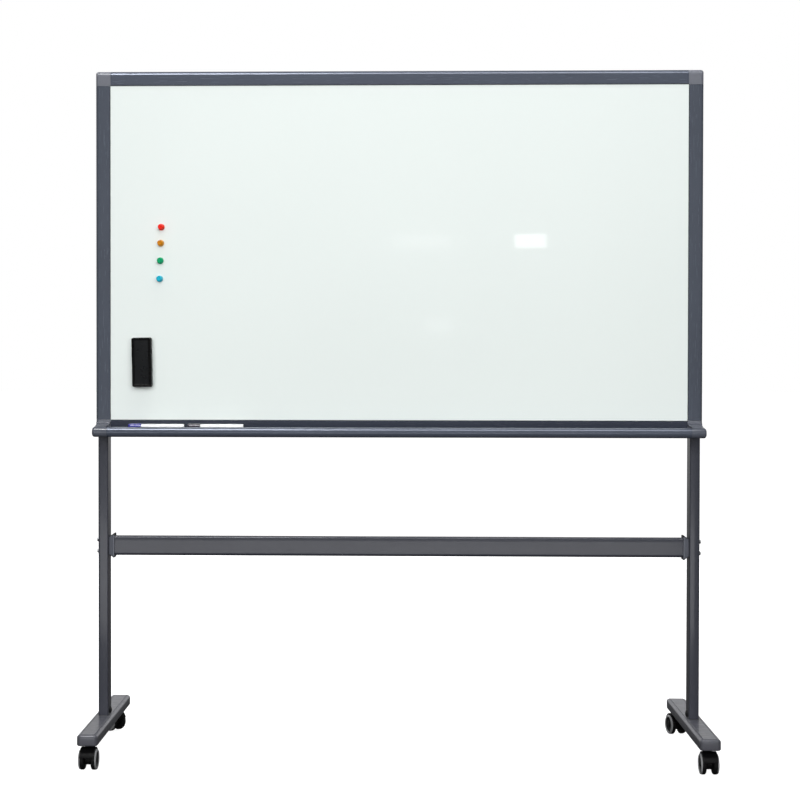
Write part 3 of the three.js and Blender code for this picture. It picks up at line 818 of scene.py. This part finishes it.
def casters():
    """Each hood rides on its swivel and each wheel on its own body. The flanges stay with the stand."""
    for name, (x, y, degrees) in CASTERS.items():
        turn = math.radians(degrees)
        place = at(x, y, 0, turn)
        piece(f"caster_{name}_hood_skin", hood().move(place), [CASTER_BLACK], f"caster_{name}",
              [f"caster_{name}_hood"])
        piece(f"caster_{name}_stem_flange", stem().move(place), [STEEL], "stand",
              [f"caster_{name}_stem"])
        for side, half_turn in (("a", 0), ("b", math.pi)):
            shape = wheel().move(place @ at(0, -TRAIL, WHEEL_RADIUS, half_turn))
            piece(f"caster_{name}_wheel_{side}_skin", shape, [RUBBER, RING_GREY, CASTER_BLACK],
                  f"{name}_wheel_{side}", [f"caster_{name}_wheel_{side}"])


# ==== what is on the board ====
def magnets():
    """Push pins: a wide base in a paler colour, a waist and a cupped head."""
    base = softened([(0, 0), (8.1, 0), (8.3, 0.8), (8.3, 3.2), (7.2, 4.3), (4.8, 5.4), (0, 5.4)],
                    0.8, 3, closed=False)
    head = softened([(0, 5.2), (4.4, 5.2), (4.2, 8), (4.3, 11), (5.4, 13.6), (6.6, 15.2), (6.6, 18.2),
                     (5.9, 19.2), (4.6, 19.5), (2.5, 19.0), (0, 18.8)], 0.8, 3, closed=False)
    for name, (x, z) in MAGNETS.items():
        shape = Shape()
        shape.loft(turned(base, "y", steps=48), 1)
        shape.loft(turned(head, "y", steps=48), 0)
        shape.move(at(x, GLASS_FRONT, z, math.pi))
        piece(f"magnet_{name}_pin", shape, MAGNET_COLOURS[name], f"magnet_{name}",
              [f"magnet_{name}"])


def eraser():
    """A moulded shell on a pad of three layers of felt."""
    width, height, corner = ERASER_WIDTH, ERASER_HEIGHT, 5
    layer_thickness = 2.3
    place = at(ERASER_X, GLASS_FRONT, ERASER_Z) @ Matrix.Rotation(-ERASER_TILT, 4, "Y")
    pad = Shape()
    for i in range(3):
        narrower = 3.4 - 0.4 * (i % 2)
        layer = rounded(width - narrower, height - narrower, corner, 6)
        pad.loft(pushed(layer, "y", -layer_thickness * (i + 1) - 0.05, -layer_thickness * i, edge=0.5))
    felt_pad = piece("eraser_felt_pad", pad.move(place), [FELT], "eraser", ["eraser_pad"])

    # The shell is pinched along its sides for the fingers, and its front holds a shallow panel.
    profile = ((0.4, -7.3), (0, -7.7), (0, -13), (1.3, -15.5), (1.3, -19), (0.3, -22), (0.2, -24.4),
               (0.7, -26), (1.8, -26.9), (3.4, -27.2), (6.2, -27.2), (7, -26.5), (7.6, -26.4))
    loops = [level(rounded(width - 2 * sunk, height - 2 * sunk, max(corner - 0.6 * sunk, 1.5), 8), "y", y)
             for sunk, y in profile]
    shell = Shape()
    panel = shell.loft(loops)[-1]
    panel.material_index = 1
    piece("eraser_shell", shell.move(place), [ERASER_BLACK, ERASER_PANEL], "eraser",
          ["eraser_body"], sharp=15)


def markers():
    """A cap with fine grip rings, and a barrel with a groove near its end."""
    cap_radius, radius = 9.5, 8.4
    length, end = MARKER_CAP, MARKER_END
    grip = [(cap_radius - (0.25 if i % 2 else 0), 9 + 1.1 * i) for i in range(9)]
    cap = [(0, 1), (6.3, 1), (8.2, 2.2), (9.3, 5)] + grip
    cap += [(cap_radius, 20), (cap_radius, length - 1), (cap_radius - 0.5, length - SEAM),
            (7.6, length - SEAM), (7.6, 28), (0, 28)]
    barrel = softened([(0, 28.5), (7.2, 28.5), (7.2, length), (radius, length + 0.2), (radius, end - 4),
                       (radius - 0.5, end - 3.6), (radius - 0.5, end - 3), (radius, end - 2.6),
                       (radius, end - 1), (radius - 1, end), (0, end)], 0.4, 2, closed=False)
    bodies = {"blue": ("blue_marker_cap", "blue_marker"), "black": ("black_marker", "black_marker_barrel")}
    for name, x in MARKERS.items():
        cap_body, barrel_body = bodies[name]
        place = at(x, MARKER_Y, MARKER_Z)
        shape = Shape()
        shape.loft(turned(cap, "x", steps=40))
        piece(f"marker_{name}_cap_skin", shape.move(place), [CAP_COLOURS[name]], cap_body,
              [f"marker_{name}_cap"])
        shape = Shape()
        shape.loft(turned(barrel, "x", steps=40))
        piece(f"marker_{name}_barrel_skin", shape.move(place), [MARKER_WHITE], barrel_body,
              [f"marker_{name}_barrel"])


def carried_over():
    """The axles stay as the CAD made them, in plated steel."""
    for name in CASTERS:
        axle = frame["nodes"][f"caster_{name}_axle"]
        axle.data.materials.clear()
        axle.data.materials.append(STEEL)


# ==== floor, light and camera ====
def stage():
    """A pale floor that the camera sees and that neither lights nor shades the object."""
    floor_mesh = bpy.data.meshes.new("floor")
    size = 60
    corners = [(-size, -size, 0), (size, -size, 0), (size, size, 0), (-size, size, 0)]
    floor_mesh.from_pydata(corners, [], [(0, 1, 2, 3)])
    floor = bpy.data.objects.new("floor", floor_mesh)
    bpy.context.scene.collection.objects.link(floor)
    floor.location.z = -0.0005
    made = Finish("floor", (0.32, 0.32, 0.32), Roughness=1.0, Specular_IOR_Level=0.0,
                  Emission_Color=(1, 1, 1, 1))
    distance = made.node("ShaderNodeVectorMath", operation="LENGTH")
    made.join(made.place, distance.inputs[0])
    glow = made.spread(distance.outputs["Value"], 0.92, 1.02, 1.2, 4.5)
    made.join(glow, made.shader.inputs["Emission Strength"])
    floor_mesh.materials.append(made.material)
    floor.visible_diffuse = False
    floor.visible_glossy = False
    floor.visible_shadow = False


def world():
    """White all round to the camera. What lights the object is brightest behind it, near the horizon."""
    scene_world = bpy.data.worlds.new("studio")
    bpy.context.scene.world = scene_world
    scene_world.use_nodes = True
    tree = scene_world.node_tree
    tree.nodes.clear()

    def node(kind, **settings):
        return new_node(tree, kind, **settings)

    def ramp(source, start, end, low, high):
        made = node("ShaderNodeMapRange", interpolation_type="SMOOTHSTEP")
        for socket, value in (("From Min", start), ("From Max", end), ("To Min", low), ("To Max", high)):
            made.inputs[socket].default_value = value
        tree.links.new(source, made.inputs["Value"])
        return made.outputs["Result"]

    def combine(operation, a, b):
        made = node("ShaderNodeMath", operation=operation)
        tree.links.new(a, made.inputs[0])
        tree.links.new(b, made.inputs[1])
        return made.outputs[0]

    direction = node("ShaderNodeSeparateXYZ")
    tree.links.new(node("ShaderNodeTexCoord").outputs["Generated"], direction.inputs[0])
    behind = ramp(direction.outputs["Y"], 0.0, 0.75, 0.0, 0.6)
    above_floor = ramp(direction.outputs["Z"], -0.12, 0.06, 0.0, 1.0)
    below_top = ramp(direction.outputs["Z"], 0.1, 0.45, 1.0, 0.2)
    backdrop = combine("MULTIPLY", combine("MULTIPLY", behind, above_floor), below_top)
    ambient = ramp(direction.outputs["Z"], -0.3, 0.1, 0.03, 0.16)
    strength = combine("ADD", backdrop, ambient)

    lit = node("ShaderNodeBackground")
    tree.links.new(strength, lit.inputs["Strength"])
    seen = node("ShaderNodeBackground")
    seen.inputs["Color"].default_value = (1, 1, 1, 1)
    mix = node("ShaderNodeMixShader")
    tree.links.new(node("ShaderNodeLightPath").outputs["Is Camera Ray"], mix.inputs["Fac"])
    tree.links.new(lit.outputs[0], mix.inputs[1])
    tree.links.new(seen.outputs[0], mix.inputs[2])
    tree.links.new(mix.outputs[0], node("ShaderNodeOutputWorld").inputs["Surface"])


def softbox(name, place, target, size, power, part):
    """A rectangular lamp aimed at a point. It lights only the matt part of surfaces, or only their gloss."""
    data = bpy.data.lights.new(name, "AREA")
    data.shape = "RECTANGLE"
    data.size, data.size_y = size
    data.energy = power
    lamp = bpy.data.objects.new(name, data)
    lamp.location = place
    lamp.rotation_euler = (Vector(target) - Vector(place)).to_track_quat("-Z", "Y").to_euler()
    lamp.visible_diffuse = part == "matt"
    lamp.visible_glossy = part == "gloss"
    bpy.context.scene.collection.objects.link(lamp)


def lights():
    softbox("front", (-0.1, -5.2, 2.1), (0, 0, 1.2), (5.0, 3.0), 272, "matt")
    softbox("top", (-0.3, -1.0, 4.6), (0, 0, 1.2), (3.2, 1.0), 42, "matt")
    softbox("overhead", (0, 1.0, 4.5), (0, 0.3, 0), (3.5, 2.5), 165, "matt")
    softbox("rear", (0, 4.8, 2.4), (0, 0, 1.0), (4.5, 3.0), 220, "matt")
    softbox("key", (-1.0, -1.6, 4.1), (-0.3, 0, 1.2), (1.5, 1.0), 80, "gloss")
    softbox("fill", (0.6, -1.6, 4.1), (0.3, 0, 1.2), (1.5, 1.0), 32, "gloss")
    # The bright floor in front, as the upright faces of the stand mirror it.
    softbox("floor_glow", (-0.5, -4.2, -0.06), (-0.5, 0, -0.06), (3.8, 0.54), 14, "gloss")
    softbox("floor_fade", (-0.5, -4.2, 0.31), (-0.5, 0, 0.31), (3.8, 0.2), 1.0, "gloss")
    # The room's small lamps, which show in the glass.
    lamps = ((0.84, 1.755, 0.2, 0.22), (0.15, 1.75, 0.36, 0.09), (0.26, 1.22, 0.17, 0.045))
    for i, (x, z, width, power) in enumerate(lamps):
        softbox(f"room_lamp_{i + 1}", (x, -7, z), (x / 2.56, 0, 1.25), (width, 0.09), power, "gloss")


def camera():
    """The eye, turned by yaw, pitch and roll in radians from looking along Y."""
    place = (-0.00209, -4.5, 0.96832)
    yaw, pitch, roll = 0.0294, -0.01611, 0.00125
    side = Vector((math.cos(yaw), math.sin(yaw), 0))
    ahead = Vector((-math.sin(yaw), math.cos(yaw), 0))
    top = Vector((0, 0, 1))
    forward = ahead * math.cos(pitch) + top * math.sin(pitch)
    up = top * math.cos(pitch) - ahead * math.sin(pitch)
    side, up = side * math.cos(roll) + up * math.sin(roll), up * math.cos(roll) - side * math.sin(roll)
    data = bpy.data.cameras.new("camera")
    data.lens = 80.795
    data.sensor_width = 36
    data.shift_x, data.shift_y = 0.0698, -0.0073
    eye = bpy.data.objects.new("camera", data)
    turned_to = Matrix((side, up, -forward)).transposed().to_4x4()
    eye.matrix_world = Matrix.Translation(place) @ turned_to
    bpy.context.scene.collection.objects.link(eye)
    bpy.context.scene.camera = eye


board_rails()
gasket()
corner_caps()
tray_ends()
glass_panel()
backing_panel()
pen_tray()
posts()
feet()
base_screws()
cross_bar()
bar_brackets()
bolts()
casters()
magnets()
eraser()
markers()
carried_over()
stage()
world()
lights()
camera()
bpy.context.scene.view_settings.view_transform = "Standard"
